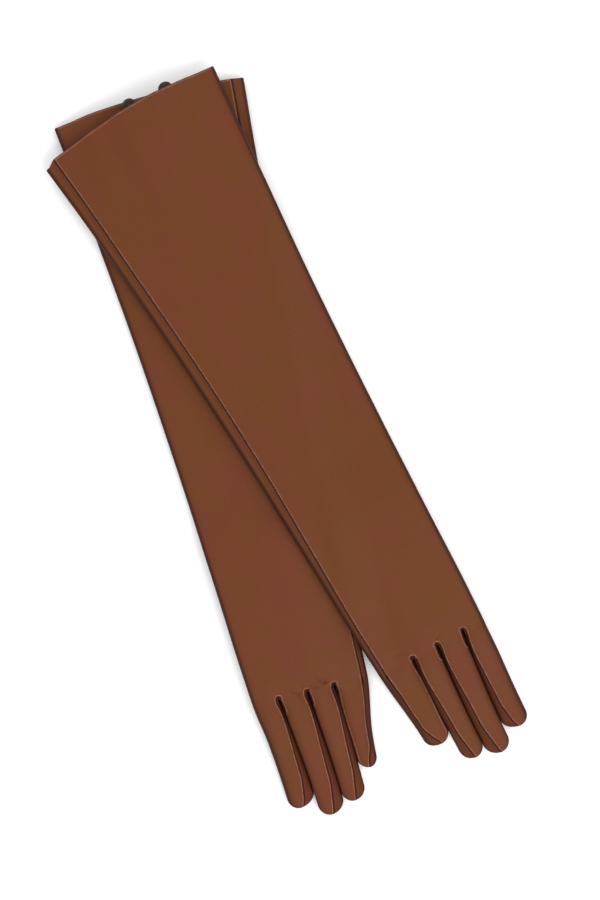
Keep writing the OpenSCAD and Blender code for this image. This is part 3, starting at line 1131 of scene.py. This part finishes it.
class GLOVE_OT_button_threads(bpy.types.Operator):
    """Tie each button's shank to the hem with a few strands of thread."""

    bl_idname = "glove.button_threads"
    bl_label = "Button threads"

    def execute(self, context):
        thread = plain_cloth("sewing_thread", tuple(settings().thread_colour), 2500.0)
        for g, side in enumerate(SIDES):
            for b in (1, 2):
                u, v = BUTTON_AT[g][b - 1]
                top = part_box(f"{side}_button_{b}")[1][2] * 1000
                if g == 0:
                    v_in = v
                else:
                    v_in = 1.6 + float(hem_edge(g, u / float(half_width(0.0)), 0.0))
                z_in = float(under_z(g, u, 0.0 if g else v)) + 0.12
                parts = []
                for x, y in ((-0.5, -0.3), (0.5, -0.3), (-0.3, 0.4), (0.3, 0.4)):
                    start = np.array([u + x, v + y, top - 0.25])
                    end = np.array([u + x * 1.6, v_in + y, max(z_in, top + 0.2)])
                    rise = np.array([start[0], (start[1] + end[1]) / 2, end[2] - 0.1])
                    name = f"{side}_button_{b}_strand"
                    parts.append(tube(g, strand(start, rise, end, 0.24), name, thread))
                bpy.ops.object.select_all(action="DESELECT")
                for part in parts:
                    part.select_set(True)
                bpy.context.view_layer.objects.active = parts[0]
                bpy.ops.object.join()
                parts[0].name = f"{side}_button_{b}_thread"
                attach(parts[0], side + "_hand")
        return {"FINISHED"}


class GLOVE_OT_threads(bpy.types.Operator):
    """Lay the stitches of the long seam in its groove."""

    bl_idname = "glove.threads"
    bl_label = "Seam stitches"

    def execute(self, context):
        bpy.ops.object.select_all(action="DESELECT")
        bpy.ops.mesh.primitive_uv_sphere_add(segments=6, ring_count=5, radius=1.0, location=(0, 0, 0))
        pattern = bpy.context.object
        shape = np.array([v.co[:] for v in pattern.data.vertices])
        quads = [tuple(p.vertices) for p in pattern.data.polygons]
        bpy.data.objects.remove(pattern)
        thread = plain_cloth("sewing_thread", tuple(settings().thread_colour), 2500.0)
        for g, side in enumerate(SIDES):
            p, faces = [], []
            rows = np.arange(1.5, KNUCKLES - 1, 2.4)
            for v in rows:
                ends = []
                for w in (v, v + 1.0):
                    a = float(seam_a(w))
                    zb = float(under_z(g, a, w))
                    s = a / (float(half_width(w)) - FOLD)
                    z = zb + float(thickness(w)) * (1 - 0.10 * abs(s) ** 6)
                    u = a + float(bend(g, w))
                    z += float(seam_relief(g, 0.0, w) + relief(g, np.array(u), np.array(w))) + 0.22
                    z += float(ease(w / 12) * ease((1.02 - abs(s)) / 0.1) * waves(g, u, w))
                    ends.append(np.array([u, w + float(hem_edge(g, a / float(half_width(w)), w)), z]))
                mid = (ends[0] + ends[1]) / 2
                d = ends[1] - ends[0]
                d = d / np.linalg.norm(d)
                x = np.cross(d, (0, 0, 1.0))
                x = x / np.linalg.norm(x)
                y = np.cross(x, d)
                part = mid + shape[:, :1] * 0.17 * x + shape[:, 1:2] * 0.85 * d + shape[:, 2:] * 0.15 * y
                k = len(p) * len(shape)
                p.append(part)
                faces += [tuple(i + k for i in q) for q in quads]
            name = side + "_side_seam_stitches"
            obj = mesh_piece(name, to_row(g, np.concatenate(p)), faces, thread)
            outward(obj)
            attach(obj, side + "_hand")
            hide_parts(side + "_side_seam_thread")
        return {"FINISHED"}


def soft_light(name, at, size, power, aim=(0.0, 0.0, 0.0), tint=(1.0, 1.0, 1.0)):
    data = bpy.data.lights.new(name, "AREA")
    data.shape = "RECTANGLE"
    data.size, data.size_y = size
    data.energy = power
    data.color = tint
    obj = bpy.data.objects.new(name, data)
    bpy.context.collection.objects.link(obj)
    obj.location = at
    obj.rotation_mode = "QUATERNION"
    obj.rotation_quaternion = (Vector(aim) - Vector(at)).to_track_quat("-Z", "Y")
    return obj


class GLOVE_OT_stage(bpy.types.Operator):
    """Set out the pale floor, the soft lights and the camera straight above."""

    bl_idname = "glove.stage"
    bl_label = "Stage"

    def execute(self, context):
        stage = context.scene.glove_stage
        scene = context.scene
        scene.view_settings.view_transform = "Standard"
        bpy.ops.object.select_all(action="DESELECT")
        bpy.ops.mesh.primitive_plane_add(size=12.0, location=(0, 0, -0.0002))
        bpy.ops.object.transform_apply(location=True, rotation=True, scale=True)
        floor = context.object
        floor.name = "floor"
        s = Shade("floor_white")
        tone = s.mix(s.noise(6.0, 2.0), (0.93, 0.93, 0.93), (0.95, 0.95, 0.95))
        floor.data.materials.append(s.finish(tone, s.noise(30.0) * 0.1 + 0.85, s.noise(800.0), 0.02, 0.0002))
        world = bpy.data.worlds.new("room")
        world.use_nodes = True
        world.node_tree.nodes["Background"].inputs["Color"].default_value = (1, 1, 1, 1)
        world.node_tree.nodes["Background"].inputs["Strength"].default_value = 0.6
        scene.world = world
        up = np.array([math.sin(-stage.turn), math.cos(stage.turn)])
        side = np.array([up[1], -up[0]])
        power = stage.light
        for name, across, along, height, size, k in (
            ("key", 0.75, -0.85, 1.4, (1.1, 1.1), 1.3),
            ("fill", 1.2, 0.7, 1.1, (1.3, 1.5), 0.75),
            ("top", -0.9, 1.2, 1.0, (1.4, 1.0), 0.9),
            ("foot", -0.8, -1.2, 1.1, (1.5, 1.0), 0.6),
        ):
            xy = across * side + along * up
            soft_light(name, (float(xy[0]), float(xy[1]), height), size, power * k)
        cam_data = bpy.data.cameras.new("camera")
        cam = bpy.data.objects.new("camera", cam_data)
        scene.collection.objects.link(cam)
        cam_data.lens = stage.lens
        cam_data.sensor_width = 36.0
        away = stage.frame_height / 36.0 * stage.lens
        cam.location = (0.0155, -0.0125, away)
        cam.rotation_euler = (0.0, 0.0, stage.turn)
        cam_data.clip_end = 100.0
        scene.camera = cam
        return {"FINISHED"}


class GLOVE_PT_build(bpy.types.Panel):
    bl_label = "Opera gloves"
    bl_idname = "GLOVE_PT_build"
    bl_space_type = "VIEW_3D"
    bl_region_type = "UI"
    bl_category = "Gloves"

    def draw(self, context):
        col = self.layout.column()
        for group in (context.scene.glove_leather, context.scene.glove_stage):
            for key in group.__annotations__:
                col.prop(group, key)
        for op in OPERATORS:
            col.operator(op.bl_idname)


OPERATORS = (
    GLOVE_OT_stage,
    GLOVE_OT_arms,
    GLOVE_OT_fingers,
    GLOVE_OT_fourchettes,
    GLOVE_OT_linings,
    GLOVE_OT_thumbs,
    GLOVE_OT_buttons,
    GLOVE_OT_button_threads,
    GLOVE_OT_threads,
)
CLASSES = (GloveLeatherSettings, GloveStageSettings) + OPERATORS + (GLOVE_PT_build,)


def register():
    for c in CLASSES:
        bpy.utils.register_class(c)
    bpy.types.Scene.glove_leather = bpy.props.PointerProperty(type=GloveLeatherSettings)
    bpy.types.Scene.glove_stage = bpy.props.PointerProperty(type=GloveStageSettings)


def unregister():
    del bpy.types.Scene.glove_stage
    del bpy.types.Scene.glove_leather
    for c in reversed(CLASSES):
        bpy.utils.unregister_class(c)


def main():
    register()
    bpy.ops.glove.stage()
    bpy.ops.glove.arms()
    bpy.ops.glove.fingers()
    bpy.ops.glove.fourchettes()
    bpy.ops.glove.linings()
    bpy.ops.glove.thumbs()
    bpy.ops.glove.buttons()
    bpy.ops.glove.button_threads()
    bpy.ops.glove.threads()


if __name__ == "__main__":
    main()
